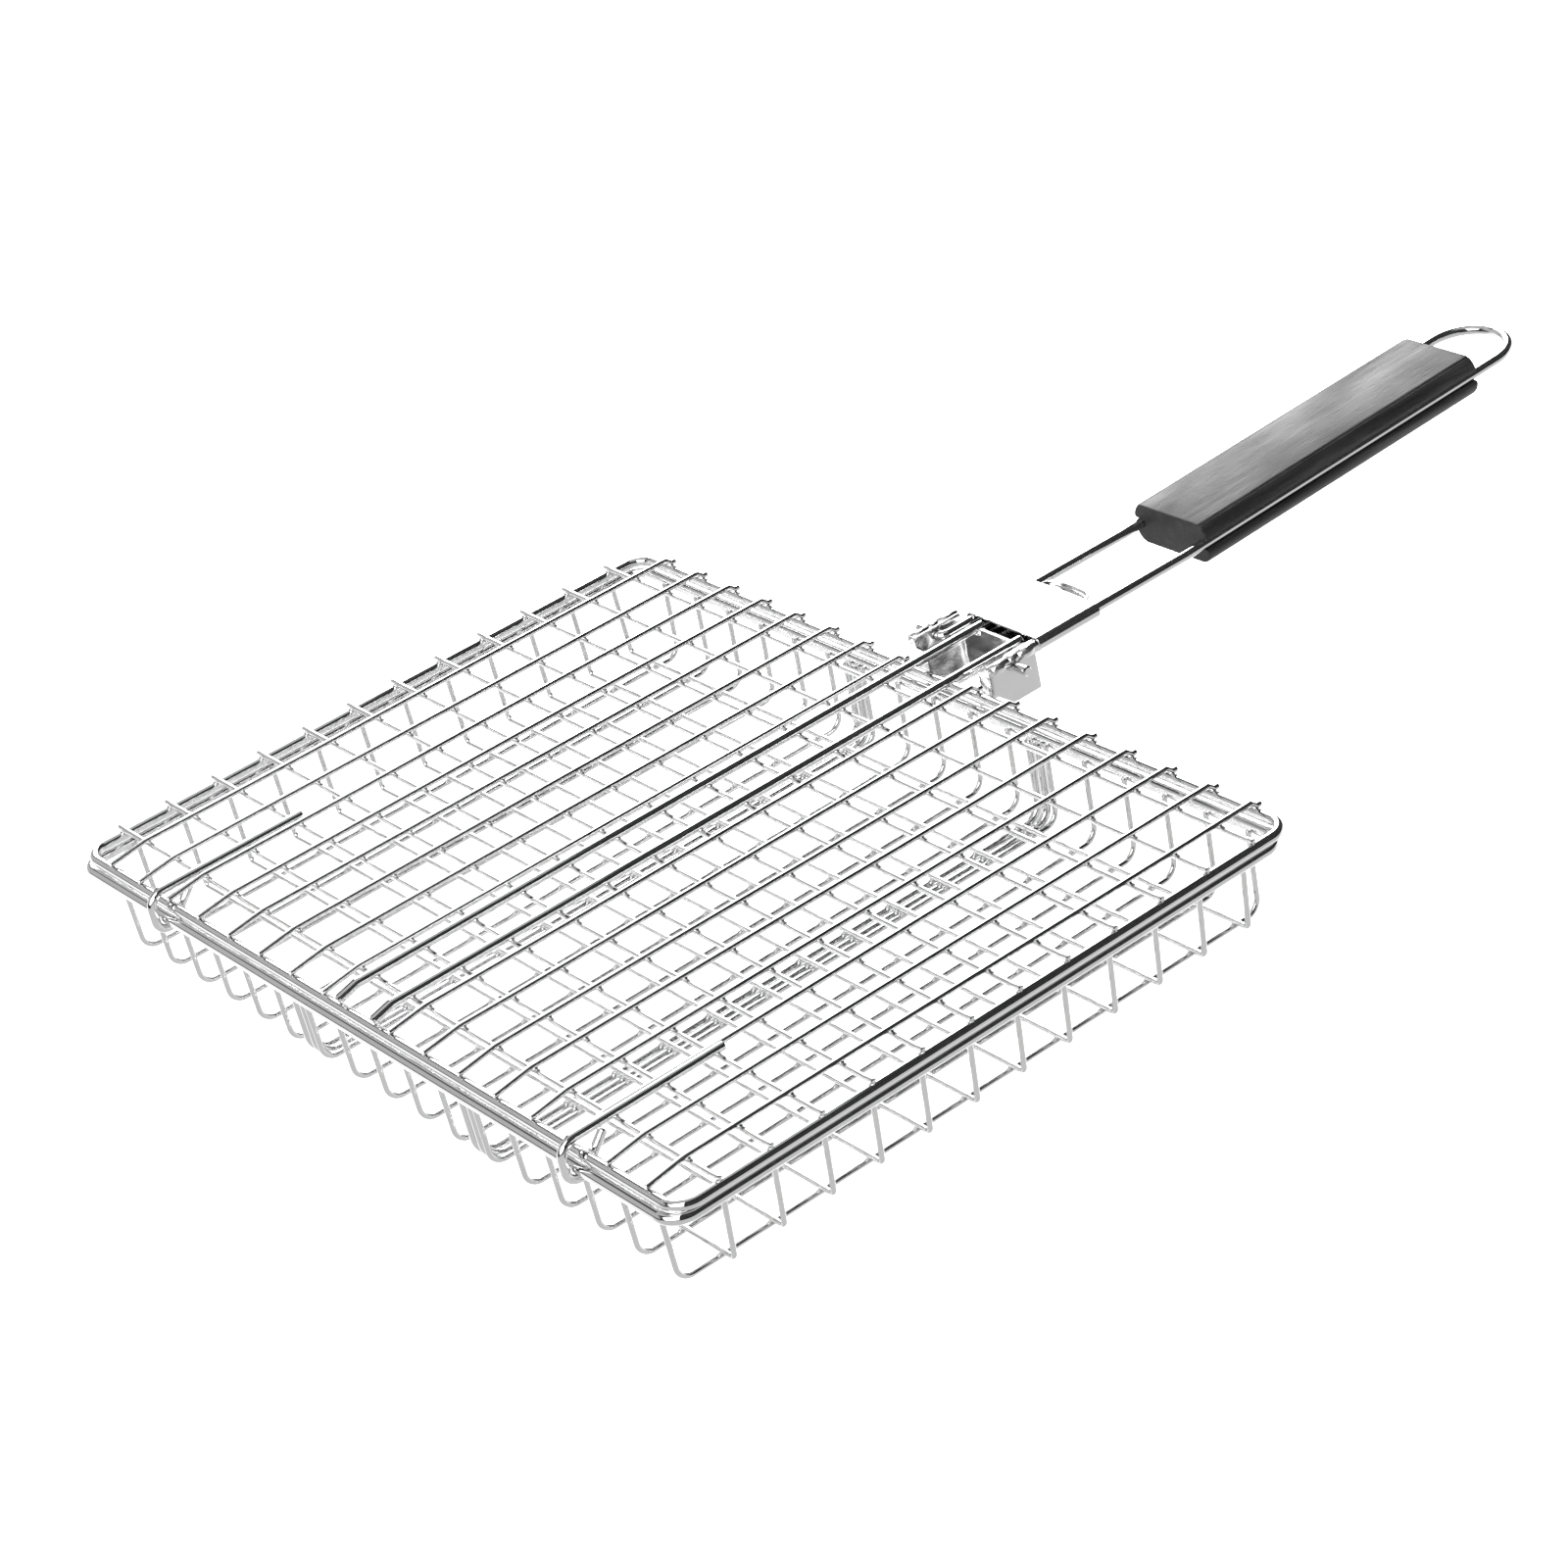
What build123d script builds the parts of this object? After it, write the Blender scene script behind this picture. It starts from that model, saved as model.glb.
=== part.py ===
"""Grill basket: a deep wire tray, a hooked-on wire lid, and a folding wire handle with a sliding lock sleeve.

Frame: X across the basket, +Y from the front hooks towards the handle, +Z up. The origin is the centre of the
wire grid, on the surface that the four support wires rest on. Millimetres.
"""
import math
import os

from build123d import *

# Driving dimensions -------------------------------------------------------------------------------------
WIRE_R = 0.95              # thin mesh wire
RIM_R = 2.0                # basket rim wire
LID_FRAME_R = 1.75         # lid frame wire
RAIL_R = 1.65              # the two heavy rails of the lid
HOOK_R = 1.5               # lid hooks
SUPPORT_R = 1.5            # support wires under the basket
HANDLE_R = 1.75            # handle wire
WELD = 0.1                 # depth to which two resistance-welded wires sink into each other

PITCH_X = 18.0             # long wires, basket and lid
LID_PITCH_Y = 18.1         # cross wires of the lid
BASKET_PITCH_Y = 17.75     # cross wires of the basket
LONG_EACH_SIDE = 8         # long wires on each side of the middle
CROSS_COUNT = 12

RING_HALF_X = 159.3        # half sizes of both rings, to the wire's centre line
RING_HALF_Y = 113.9
RING_CORNER = 7.0
BASKET_SHIFT = (-3.6, -1.6)     # ring centre of the basket from the grid's centre
LID_SHIFT = (-2.2, 0.0)         # ring centre of the lid from the grid's centre
BASKET_CROSS_SHIFT = 0.8        # middle of the basket's cross wires from the grid's centre

RIM_Z = 28.95              # rim centre above the resting surface
RING_STEP = 4.1            # lid frame centre above the rim centre
WALL_TOP = 0.6             # wall wires end this far above the rim's centre line
LEAN_Y = 1.0               # front and back walls lean in by this much at the bottom
LEAN_X = 2.4               # side walls
LONG_BEND = 5.0            # centre-line bend radii at the bottom of the walls
CROSS_BEND = 2.0
SUPPORT_BEND = 7.0
SUPPORT_X = (-43.2, -39.1, 46.8, 50.9)

LONG_DIP_START = 7.0       # a lid wire starts to bend down this far inside the frame's centre line
LONG_FRONT_END = 0.8       # ends this far outside it at the front
LONG_BACK_END = 2.0        # and this far at the back
LONG_DIP_BEND = 5.0
CROSS_TAB = 2.0            # cross wires pass the lid frame's left side by this much
CROSS_STUB = 0.8           # and its right side by this much
RAIL_X = 9.4
RAIL_DIP_START = 6.5
RAIL_DIP_END = 0.6
RAIL_DIP = 2.0

HOOK_X = 111.0
HOOK_INNER_Y = -61.0
HOOK_GAP = 0.35            # free gap between hook and rim
HOOK_TURN = 138.0          # degrees of rim that the hook goes round, from the front
HOOK_TIP = 12.0            # straight end behind the rim
HOOK_BEND = 5.0

PIVOT_Y = 128.3            # handle pivot
PIVOT_Z = 37.95
PIN_CLEARANCE = 0.08       # running clearance, on the radius
PIN_TIP_X = 27.0
HANDLE_HALF = 14.9         # half distance between the two handle wires
PIN_BEND = 2.6
RISE_START_Y = 208.0       # the handle rises behind this point
RISE_DEG = 2.2
RISE_BEND = 20.0
LOOP_START_Y = 356.0       # the hanging loop's half circle starts here

EAR_INNER_X = 17.6
EAR_T = 1.2
EAR_FRONT_Y = 119.2
EAR_BACK_Y = 138.6
EAR_TOP = 3.2              # heights from the pivot
EAR_FRONT_LOW = -6.5
EAR_LOW = -13.3
EAR_CHAMFER_Y = 7.9        # length of the chamfer at the ear's lower front corner
FLOOR_TOP = -7.9           # from the pivot
BEAD_R = 1.9               # rolled upper edge of each ear
BEAD_BORE_R = 0.8
BEAD_OUT = 1.3             # bead centre outside the ear's middle
BEAD_UP = 1.9              # and above the pivot
BEAD_GAP = 2.4             # the bead is cut away this far each side of the pin
FLANGE_WIDTH = 6.0         # inward flange at each ear's front edge
FLANGE_TOP = -0.5          # from the pivot
FLAP_TOP = -2.1            # upturned rear flap of the channel, from the pivot
FLAP_CORNER = 1.4          # open corner between the flap and each ear
TONGUE_HALF = 7.0          # the flap stands higher between the two rails
TONGUE_TOP = 0.6           # from the pivot

RAIL_REACH = 12.6          # rails end this far behind the pivot
SLEEVE_START = 13.0        # sleeve starts this far behind the pivot, so that it folds past the rails
SLEEVE_LENGTH = 26.1
SLEEVE_T = 0.67
SLEEVE_LOOSE = 0.9         # side play of the handle wires in the sleeve
TAB_HALF = 10.8            # thumb tab at the sleeve's rear edge
TAB_DEPTH = 5.8
TAB_LIP = 1.2
TAB_DROP = 2.3             # the tab slopes down by this much to its rear edge
TAB_ROOT = 0.4             # its root reaches this far into the sleeve's wall

GRIP_START_Y = 216.0
GRIP_LENGTH = 128.0
GRIP_HALF_TOP = 14.5
GRIP_HALF_WIDE = 17.5
GRIP_HALF_H = 7.2
GRIP_SHOULDER = 2.9        # height of the widest line above and below the wire
GROOVE_GAP = 0.05
GRIP_EDGE = 0.7

# Derived levels -----------------------------------------------------------------------------------------
support_z = SUPPORT_R
basket_cross_z = support_z + SUPPORT_R + WIRE_R - WELD
basket_long_z = basket_cross_z - 2 * WIRE_R + WELD
lid_frame_z = RIM_Z + RING_STEP
lid_cross_z = lid_frame_z + LID_FRAME_R + WIRE_R - WELD
lid_long_z = lid_cross_z + 2 * WIRE_R - WELD
rail_z = lid_cross_z + WIRE_R + RAIL_R - WELD
hook_z = lid_cross_z + WIRE_R + HOOK_R - WELD
sleeve_front_y = PIVOT_Y + SLEEVE_START
sleeve_r = HANDLE_R + PIN_CLEARANCE + SLEEVE_T
sleeve_half = HANDLE_HALF + SLEEVE_LOOSE

os.makedirs("parts", exist_ok=True)


def write(part, name):
    """Label the finished piece and write it as one STEP file."""
    part.label = name
    export_step(part, f"parts/{name}.step")


def start_plane(path):
    """The plane at a path's start, square to the path."""
    return Plane(origin=path @ 0, z_dir=path % 0)


def handle_z(y):
    """Height of the handle wire's centre line at y."""
    return PIVOT_Z + max(0.0, y - RISE_START_Y) * math.tan(math.radians(RISE_DEG))


def ring(centre, z, radius, name):
    """A rectangular ring of wire with rounded corners."""
    x, y = centre
    corners = [
        (x + sx * RING_HALF_X, y + sy * RING_HALF_Y, z) for sx, sy in ((-1, -1), (1, -1), (1, 1), (-1, 1))
    ]
    with BuildPart() as part:
        with BuildLine() as path:
            FilletPolyline(*corners, radius=RING_CORNER, close=True)
        with BuildSketch(start_plane(path.line)):
            Circle(radius)
        sweep(path=path.line)
    write(part.part, name)


def bent_wire(points, bend, radius, name):
    """One wire along straight runs joined by bends of one radius."""
    with BuildPart() as part:
        with BuildLine() as path:
            FilletPolyline(*points, radius=bend)
        with BuildSketch(start_plane(path.line)):
            Circle(radius)
        sweep(path=path.line)
    write(part.part, name)


# Basket -------------------------------------------------------------------------------------------------
ring(BASKET_SHIFT, RIM_Z, RIM_R, "basket_rim")


def tray_wire_y(x, z, radius, bend, name):
    """A wire that runs front to back along the bottom and up the inside of the front and back rim."""
    inset = RIM_R + radius - WELD
    front = BASKET_SHIFT[1] - RING_HALF_Y + inset
    back = BASKET_SHIFT[1] + RING_HALF_Y - inset
    top = RIM_Z + WALL_TOP
    points = ((x, front, top), (x, front + LEAN_Y, z), (x, back - LEAN_Y, z), (x, back, top))
    bent_wire(points, bend, radius, name)


for index in range(-LONG_EACH_SIDE, LONG_EACH_SIDE + 1):
    number = index + LONG_EACH_SIDE + 1
    tray_wire_y(index * PITCH_X, basket_long_z, WIRE_R, LONG_BEND, f"basket_long_wire_{number:02d}")

for number, x in enumerate(SUPPORT_X, 1):
    tray_wire_y(x, support_z, SUPPORT_R, SUPPORT_BEND, f"support_wire_{number}")

for number in range(1, CROSS_COUNT + 1):
    y = BASKET_CROSS_SHIFT + (number - (CROSS_COUNT + 1) / 2) * BASKET_PITCH_Y
    inset = RIM_R + WIRE_R - WELD
    left = BASKET_SHIFT[0] - RING_HALF_X + inset
    right = BASKET_SHIFT[0] + RING_HALF_X - inset
    top = RIM_Z + WALL_TOP
    low = basket_cross_z
    points = ((left, y, top), (left + LEAN_X, y, low), (right - LEAN_X, y, low), (right, y, top))
    bent_wire(points, CROSS_BEND, WIRE_R, f"basket_cross_wire_{number:02d}")

# Bracket: a folded channel welded to the back of the rim, with two ears that carry the handle's pins.
floor_front_y = BASKET_SHIFT[1] + RING_HALF_Y + RIM_R - 0.03
ear_outer_x = EAR_INNER_X + EAR_T
with BuildPart() as bracket:
    with BuildSketch(Plane.XY.offset(PIVOT_Z + FLOOR_TOP - EAR_T)):
        with Locations((0, (floor_front_y + EAR_BACK_Y) / 2)):
            Rectangle(2 * ear_outer_x, EAR_BACK_Y - floor_front_y)
    extrude(amount=EAR_T)
    for side in (-1, 1):
        inner = Plane(origin=(side * EAR_INNER_X, PIVOT_Y, PIVOT_Z), x_dir=(0, 1, 0), z_dir=(1, 0, 0))
        with BuildSketch(inner):
            front, back = EAR_FRONT_Y - PIVOT_Y, EAR_BACK_Y - PIVOT_Y
            Polygon(
                (front, EAR_TOP),
                (front, EAR_FRONT_LOW),
                (front + EAR_CHAMFER_Y, EAR_LOW),
                (back, EAR_LOW),
                (back, EAR_TOP),
                align=None,
            )
        extrude(amount=side * EAR_T)
        bead_x = side * (EAR_INNER_X + EAR_T / 2 + BEAD_OUT)
        for start, end in ((EAR_FRONT_Y, PIVOT_Y - BEAD_GAP), (PIVOT_Y + BEAD_GAP, EAR_BACK_Y)):
            bead_plane = Plane(origin=(bead_x, start, PIVOT_Z + BEAD_UP), x_dir=(1, 0, 0), z_dir=(0, 1, 0))
            with BuildSketch(bead_plane):
                Circle(BEAD_R)
            extrude(amount=end - start)
            with BuildSketch(bead_plane):
                Circle(BEAD_BORE_R)
            extrude(amount=end - start, mode=Mode.SUBTRACT)
        with BuildSketch(Plane(origin=(0, EAR_FRONT_Y, PIVOT_Z), x_dir=(-1, 0, 0), z_dir=(0, 1, 0))):
            flange_x = -side * (EAR_INNER_X + EAR_T - FLANGE_WIDTH / 2)
            with Locations((flange_x, (FLOOR_TOP - EAR_T + FLANGE_TOP) / 2)):
                Rectangle(FLANGE_WIDTH, FLANGE_TOP - FLOOR_TOP + EAR_T)
        extrude(amount=EAR_T)
    flap_low = PIVOT_Z + FLOOR_TOP - EAR_T
    with BuildSketch(Plane.XY.offset(flap_low)):
        with Locations((0, EAR_BACK_Y - EAR_T / 2)):
            Rectangle(2 * (EAR_INNER_X - FLAP_CORNER), EAR_T)
    extrude(amount=PIVOT_Z + FLAP_TOP - flap_low)
    with BuildSketch(Plane.XY.offset(flap_low)):
        with Locations((0, EAR_BACK_Y - EAR_T / 2)):
            Rectangle(2 * TONGUE_HALF, EAR_T)
    extrude(amount=PIVOT_Z + TONGUE_TOP - flap_low)
    with BuildSketch(Plane(origin=(0, PIVOT_Y, PIVOT_Z), x_dir=(0, 1, 0), z_dir=(1, 0, 0))):
        Circle(HANDLE_R + PIN_CLEARANCE)
    extrude(amount=PIN_TIP_X, both=True, mode=Mode.SUBTRACT)
write(bracket.part, "bracket")

# Lid ----------------------------------------------------------------------------------------------------
ring(LID_SHIFT, lid_frame_z, LID_FRAME_R, "lid_frame")
lid_front_y = LID_SHIFT[1] - RING_HALF_Y
lid_back_y = LID_SHIFT[1] + RING_HALF_Y

number = 0
for index in range(-LONG_EACH_SIDE, LONG_EACH_SIDE + 1):
    if index == 0:
        continue  # the two rails take the middle wire's place
    number += 1
    x = index * PITCH_X
    points = (
        (x, lid_front_y - LONG_FRONT_END, lid_cross_z),
        (x, lid_front_y, lid_cross_z),
        (x, lid_front_y + LONG_DIP_START, lid_long_z),
        (x, lid_back_y - LONG_DIP_START, lid_long_z),
        (x, lid_back_y, lid_cross_z),
        (x, lid_back_y + LONG_BACK_END, lid_cross_z),
    )
    bent_wire(points, LONG_DIP_BEND, WIRE_R, f"lid_long_wire_{number:02d}")

cross_left = LID_SHIFT[0] - RING_HALF_X - CROSS_TAB
cross_length = 2 * RING_HALF_X + CROSS_TAB + CROSS_STUB
with BuildPart() as lid_cross_wires:
    with BuildSketch(Plane(origin=(cross_left, 0, lid_cross_z), x_dir=(0, 1, 0), z_dir=(1, 0, 0))):
        with GridLocations(LID_PITCH_Y, LID_PITCH_Y, CROSS_COUNT, 1):
            Circle(WIRE_R)
    extrude(amount=cross_length)
write(lid_cross_wires.part, "lid_cross_wires")

for side, name in ((-1, "rail_left"), (1, "rail_right")):
    x = side * RAIL_X
    points = (
        (x, lid_front_y - RAIL_DIP_END, rail_z - RAIL_DIP),
        (x, lid_front_y + RAIL_DIP_START, rail_z),
        (x, PIVOT_Y + RAIL_REACH, rail_z),
    )
    bent_wire(points, LONG_BEND, RAIL_R, name)

# Each hook runs over the front of the lid, down in front of both rings, and round under the rim.
hook_turn_r = RIM_R + HOOK_GAP + HOOK_R
rim_front_y = BASKET_SHIFT[1] - RING_HALF_Y
turn_end = math.radians(180 + HOOK_TURN)
tip_y = rim_front_y + hook_turn_r * math.cos(turn_end) - HOOK_TIP * math.sin(turn_end)
tip_z = RIM_Z + hook_turn_r * math.sin(turn_end) + HOOK_TIP * math.cos(turn_end)
for side, name in ((-1, "hook_left"), (1, "hook_right")):
    x = side * HOOK_X
    with BuildPart() as hook:
        with BuildLine() as path:
            lead = FilletPolyline(
                (x, HOOK_INNER_Y, hook_z),
                (x, rim_front_y - hook_turn_r, hook_z),
                (x, rim_front_y - hook_turn_r, RIM_Z),
                radius=HOOK_BEND,
            )
            turn = ThreePointArc(
                lead @ 1,
                (x, rim_front_y, RIM_Z - hook_turn_r),
                (
                    x,
                    rim_front_y + hook_turn_r * math.cos(turn_end),
                    RIM_Z + hook_turn_r * math.sin(turn_end),
                ),
            )
            Line(turn @ 1, (x, tip_y, tip_z))
        with BuildSketch(start_plane(path.line)):
            Circle(HOOK_R)
        sweep(path=path.line)
    write(hook.part, name)

# Handle -------------------------------------------------------------------------------------------------
loop_z = handle_z(LOOP_START_Y)
rise = math.radians(RISE_DEG)
with BuildPart() as handle_wire:
    with BuildLine() as path:
        near_right = FilletPolyline(
            (PIN_TIP_X, PIVOT_Y, PIVOT_Z),
            (HANDLE_HALF, PIVOT_Y, PIVOT_Z),
            (HANDLE_HALF, (PIVOT_Y + RISE_START_Y) / 2, PIVOT_Z),
            radius=PIN_BEND,
        )
        far_right = FilletPolyline(
            near_right @ 1,
            (HANDLE_HALF, RISE_START_Y, PIVOT_Z),
            (HANDLE_HALF, LOOP_START_Y, loop_z),
            radius=RISE_BEND,
        )
        loop = ThreePointArc(
            far_right @ 1,
            (0, LOOP_START_Y + HANDLE_HALF * math.cos(rise), loop_z + HANDLE_HALF * math.sin(rise)),
            (-HANDLE_HALF, LOOP_START_Y, loop_z),
        )
        far_left = FilletPolyline(
            loop @ 1,
            (-HANDLE_HALF, RISE_START_Y, PIVOT_Z),
            (-HANDLE_HALF, (PIVOT_Y + RISE_START_Y) / 2, PIVOT_Z),
            radius=RISE_BEND,
        )
        FilletPolyline(
            far_left @ 1,
            (-HANDLE_HALF, PIVOT_Y, PIVOT_Z),
            (-PIN_TIP_X, PIVOT_Y, PIVOT_Z),
            radius=PIN_BEND,
        )
    with BuildSketch(start_plane(path.line)):
        Circle(HANDLE_R)
    sweep(path=path.line)
write(handle_wire.part, "handle_wire")

# Lock sleeve: a flattened tube round both handle wires, with a thumb tab at its rear edge.
sleeve_plane = Plane(origin=(0, sleeve_front_y, PIVOT_Z), x_dir=(-1, 0, 0), z_dir=(0, 1, 0))
tab_slope = math.atan2(TAB_DROP, TAB_DEPTH)
tab_reach = TAB_DEPTH / math.cos(tab_slope)
tab_plane = Plane(
    origin=(0, sleeve_front_y + SLEEVE_LENGTH - TAB_ROOT, PIVOT_Z + sleeve_r - SLEEVE_T),
    x_dir=(1, 0, 0),
    z_dir=(0, math.sin(tab_slope), math.cos(tab_slope)),
)
with BuildPart() as lock_sleeve:
    with BuildSketch(sleeve_plane):
        SlotCenterToCenter(2 * sleeve_half, 2 * sleeve_r)
        SlotCenterToCenter(2 * sleeve_half, 2 * (sleeve_r - SLEEVE_T), mode=Mode.SUBTRACT)
    extrude(amount=SLEEVE_LENGTH)
    with BuildSketch(tab_plane):
        Ellipse(TAB_HALF, tab_reach)
        with Locations((0, -tab_reach)):
            Rectangle(2 * TAB_HALF, 2 * tab_reach, mode=Mode.SUBTRACT)
    extrude(amount=SLEEVE_T)
    with BuildSketch(tab_plane):
        Ellipse(TAB_HALF, tab_reach)
        Ellipse(TAB_HALF - SLEEVE_T, tab_reach - SLEEVE_T, mode=Mode.SUBTRACT)
        with Locations((0, -tab_reach)):
            Rectangle(2 * TAB_HALF, 2 * tab_reach, mode=Mode.SUBTRACT)
    extrude(amount=TAB_LIP)
write(lock_sleeve.part, "lock_sleeve")

# Wood grip: six-sided block with a groove along each side for the handle wire.
grip_plane = Plane(
    origin=(0, GRIP_START_Y, handle_z(GRIP_START_Y)),
    x_dir=(-1, 0, 0),
    z_dir=(0, math.cos(rise), math.sin(rise)),
)
groove_r = HANDLE_R + GROOVE_GAP
with BuildPart() as wood_grip:
    with BuildSketch(grip_plane):
        Polygon(
            (GRIP_HALF_TOP, GRIP_HALF_H),
            (-GRIP_HALF_TOP, GRIP_HALF_H),
            (-GRIP_HALF_WIDE, GRIP_SHOULDER),
            (-GRIP_HALF_WIDE, -GRIP_SHOULDER),
            (-GRIP_HALF_TOP, -GRIP_HALF_H),
            (GRIP_HALF_TOP, -GRIP_HALF_H),
            (GRIP_HALF_WIDE, -GRIP_SHOULDER),
            (GRIP_HALF_WIDE, GRIP_SHOULDER),
            align=None,
        )
        for side in (-1, 1):
            with Locations((side * HANDLE_HALF, 0)):
                Circle(groove_r, mode=Mode.SUBTRACT)
            with Locations((side * (HANDLE_HALF + GRIP_HALF_WIDE) / 2, 0)):
                Rectangle(GRIP_HALF_WIDE - HANDLE_HALF, 2 * groove_r, mode=Mode.SUBTRACT)
    extrude(amount=GRIP_LENGTH)
    end_edges = wood_grip.faces().sort_by(Axis.Y)[0].edges() + wood_grip.faces().sort_by(Axis.Y)[-1].edges()
    chamfer(end_edges.filter_by(Axis.X), GRIP_EDGE)
write(wood_grip.part, "wood_grip")
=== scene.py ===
"""The looks of the grill basket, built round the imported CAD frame. Metres, in the CAD's own frame."""
import math

import bmesh
import bpy
import numpy as np
from mathutils import Matrix, Vector


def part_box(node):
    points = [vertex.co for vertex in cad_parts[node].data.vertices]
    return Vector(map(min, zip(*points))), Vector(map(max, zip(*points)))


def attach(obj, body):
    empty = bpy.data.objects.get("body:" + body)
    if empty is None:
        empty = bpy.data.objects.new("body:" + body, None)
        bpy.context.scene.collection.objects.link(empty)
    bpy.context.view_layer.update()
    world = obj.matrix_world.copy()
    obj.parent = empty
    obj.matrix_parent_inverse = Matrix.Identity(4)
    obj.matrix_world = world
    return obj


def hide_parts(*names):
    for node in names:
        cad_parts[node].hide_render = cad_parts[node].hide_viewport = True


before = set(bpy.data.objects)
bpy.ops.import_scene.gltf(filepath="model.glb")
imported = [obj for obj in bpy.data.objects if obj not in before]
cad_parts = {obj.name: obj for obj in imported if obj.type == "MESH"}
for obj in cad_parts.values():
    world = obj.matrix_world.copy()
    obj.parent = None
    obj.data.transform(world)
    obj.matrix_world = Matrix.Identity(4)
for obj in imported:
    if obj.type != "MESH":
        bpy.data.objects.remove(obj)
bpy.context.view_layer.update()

MM = 0.001
LONG_EACH_SIDE = 8
LONG_COUNT = 2 * LONG_EACH_SIDE + 1
LID_LONG_COUNT = 2 * LONG_EACH_SIDE
CROSS_COUNT = 12
SUPPORT_COUNT = 4


# Reading the frame --------------------------------------------------------------------------------------
def centre(node):
    low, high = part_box(node)
    return (low + high) / 2


def half(node):
    low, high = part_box(node)
    return (high - low) / 2


# Camera -------------------------------------------------------------------------------------------------
CAMERA_AIM = Vector((11.9, 40.1, 37.45)) * MM
CAMERA_DISTANCE = 1.2989
CAMERA_HEADING = math.radians(-57.698)
CAMERA_ELEVATION = math.radians(29.361)
CAMERA_ROLL = math.radians(-12.883)
CAMERA_LENS = 97.17
VIEW_FLAT = Vector((math.sin(CAMERA_HEADING), math.cos(CAMERA_HEADING), 0))


def make_camera():
    """The photograph's viewpoint: heading is measured from +Y towards +X."""
    forward = VIEW_FLAT * math.cos(CAMERA_ELEVATION) - Vector((0, 0, math.sin(CAMERA_ELEVATION)))
    level_right = forward.cross(Vector((0, 0, 1))).normalized()
    level_up = level_right.cross(forward)
    right = level_right * math.cos(CAMERA_ROLL) + level_up * math.sin(CAMERA_ROLL)
    up = level_up * math.cos(CAMERA_ROLL) - level_right * math.sin(CAMERA_ROLL)
    data = bpy.data.cameras.new("camera")
    data.lens = CAMERA_LENS
    data.sensor_width = 36
    camera = bpy.data.objects.new("camera", data)
    bpy.context.scene.collection.objects.link(camera)
    turn = Matrix((right, up, -forward)).transposed().to_4x4()
    camera.matrix_world = Matrix.Translation(CAMERA_AIM - forward * CAMERA_DISTANCE) @ turn
    bpy.context.scene.camera = camera


# Materials ----------------------------------------------------------------------------------------------
def new_material(name):
    material = bpy.data.materials.new(name)
    material.use_nodes = True
    tree = material.node_tree
    shader = next(n for n in tree.nodes if n.type == "BSDF_PRINCIPLED")
    return material, tree, shader


def coordinates(tree, scale):
    """Object coordinates, stretched by scale along each axis."""
    source = tree.nodes.new("ShaderNodeTexCoord")
    mapping = tree.nodes.new("ShaderNodeMapping")
    mapping.inputs["Scale"].default_value = scale
    tree.links.new(source.outputs["Object"], mapping.inputs["Vector"])
    return mapping.outputs["Vector"]


def noise(tree, vector, scale, detail=3.0, roughness=0.5):
    node = tree.nodes.new("ShaderNodeTexNoise")
    node.inputs["Scale"].default_value = scale
    node.inputs["Detail"].default_value = detail
    node.inputs["Roughness"].default_value = roughness
    tree.links.new(vector, node.inputs["Vector"])
    return node.outputs["Fac"]


def remap(tree, value, low, high, to_low, to_high):
    node = tree.nodes.new("ShaderNodeMapRange")
    node.inputs["From Min"].default_value = low
    node.inputs["From Max"].default_value = high
    node.inputs["To Min"].default_value = to_low
    node.inputs["To Max"].default_value = to_high
    tree.links.new(value, node.inputs["Value"])
    return node.outputs["Result"]


def ramp(tree, value, stops):
    """A colour ramp: stops are (position, grey)."""
    node = tree.nodes.new("ShaderNodeValToRGB")
    node.color_ramp.elements[0].position = stops[0][0]
    node.color_ramp.elements[0].color = (*[stops[0][1]] * 3, 1)
    node.color_ramp.elements[1].position = stops[-1][0]
    node.color_ramp.elements[1].color = (*[stops[-1][1]] * 3, 1)
    for position, grey in stops[1:-1]:
        node.color_ramp.elements.new(position).color = (grey, grey, grey, 1)
    tree.links.new(value, node.inputs["Fac"])
    return node.outputs["Color"]


def math_node(tree, operation, first, second):
    node = tree.nodes.new("ShaderNodeMath")
    node.operation = operation
    for socket, value in zip(node.inputs, (first, second)):
        if isinstance(value, (int, float)):
            socket.default_value = value
        else:
            tree.links.new(value, socket)
    return node.outputs["Value"]


def bump(tree, shader, height, strength, distance, before=None):
    node = tree.nodes.new("ShaderNodeBump")
    node.inputs["Strength"].default_value = strength
    node.inputs["Distance"].default_value = distance
    tree.links.new(height, node.inputs["Height"])
    if before is not None:
        tree.links.new(before, node.inputs["Normal"])
    tree.links.new(node.outputs["Normal"], shader.inputs["Normal"])
    return node.outputs["Normal"]


def chrome(name, grey, rough_low, rough_high, grain=(1, 1, 1), relief=0.05):
    """Bright plated steel with fine handling marks: grain stretches them, relief is their bump strength."""
    material, tree, shader = new_material(name)
    shader.inputs["Metallic"].default_value = 1.0
    cloud = noise(tree, coordinates(tree, (1, 1, 1)), 60, 4)
    marks = noise(tree, coordinates(tree, grain), 900, 3, 0.6)
    tint = ramp(tree, cloud, ((0.3, grey * 0.93), (0.7, grey)))
    tree.links.new(tint, shader.inputs["Base Color"])
    half_cloud = math_node(tree, "MULTIPLY", cloud, 0.5)
    mixed = math_node(tree, "ADD", half_cloud, math_node(tree, "MULTIPLY", marks, 0.5))
    tree.links.new(remap(tree, mixed, 0.35, 0.65, rough_low, rough_high), shader.inputs["Roughness"])
    bump(tree, shader, marks, relief, 0.00002)
    return material


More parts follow.
